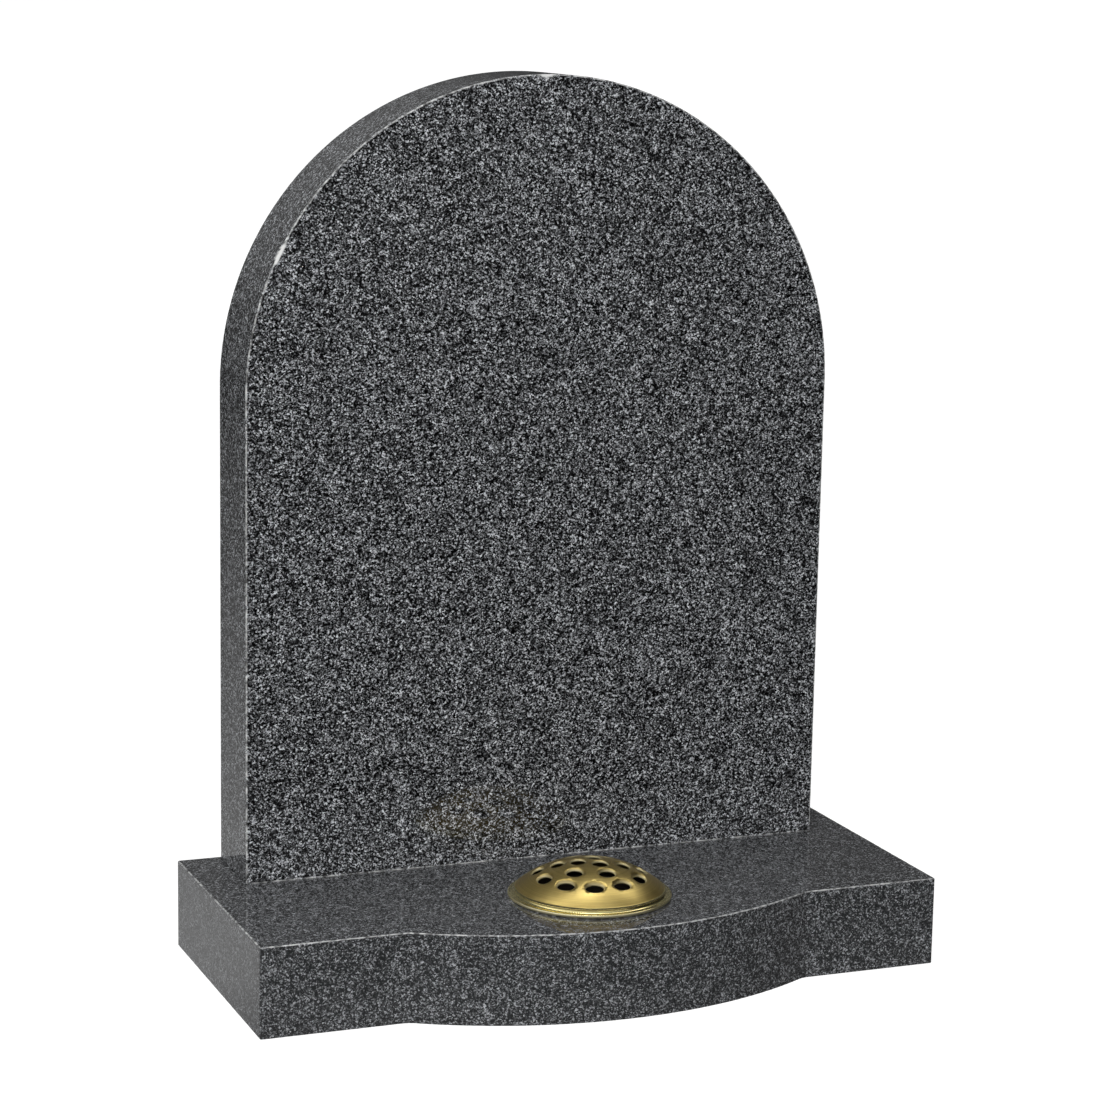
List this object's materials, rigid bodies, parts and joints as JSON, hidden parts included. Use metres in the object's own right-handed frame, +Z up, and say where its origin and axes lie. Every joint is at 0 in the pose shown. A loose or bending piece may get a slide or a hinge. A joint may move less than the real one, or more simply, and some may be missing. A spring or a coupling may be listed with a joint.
{
  "type": "headstone",
  "caption": "Memorial headstone: round-topped polished granite tablet on a bow-fronted base, with a sunken flower pot under a domed, perforated lift-off lid.",
  "frame": {"origin": "on the ground, under the middle of the base's bounding box", "axes": "+Z up, the inscription face and the bow front face -Y, +X to the right of a person who faces the front"},
  "size_m": [0.695, 0.3502, 0.869],
  "materials": {
    "granite": "polished dark grey speckled granite",
    "pot_metal": "dull, dark inside",
    "lid_metal": "gold anodised, satin, with spun rings"
  },
  "bodies": {
    "root": {"base": "granite", "tablet": "granite", "flower_pot": "pot_metal", "pot_lid": "lid_metal"}
  },
  "joints": []
}
